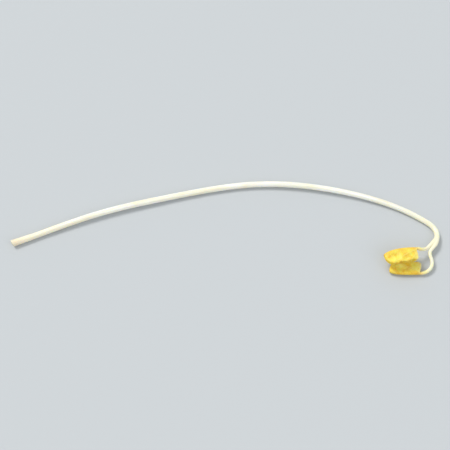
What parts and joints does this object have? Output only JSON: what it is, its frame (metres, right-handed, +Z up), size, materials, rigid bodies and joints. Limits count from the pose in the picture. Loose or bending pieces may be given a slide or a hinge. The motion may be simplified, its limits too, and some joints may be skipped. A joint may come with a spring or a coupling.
{
  "type": "buckwheat sprout",
  "caption": "Cut buckwheat sprout lying flat: a long slender white stem that hooks over at the top, with folded yellow seed leaves on thin pale stalks.",
  "frame": {"origin": "under the middle of the sprout's box, on the surface that it lies on", "axes": "+X along the stem from its cut end towards the leaves, +Y towards the outside of the stem's arch, +Z up"},
  "size_m": [0.1046, 0.0246, 0.0049],
  "materials": {
    "stem": "satin",
    "seed_leaf": "satin"
  },
  "bodies": {
    "root": {"stem": "stem", "upper_seed_leaf": "seed_leaf", "lower_seed_leaf": "seed_leaf"}
  },
  "joints": []
}
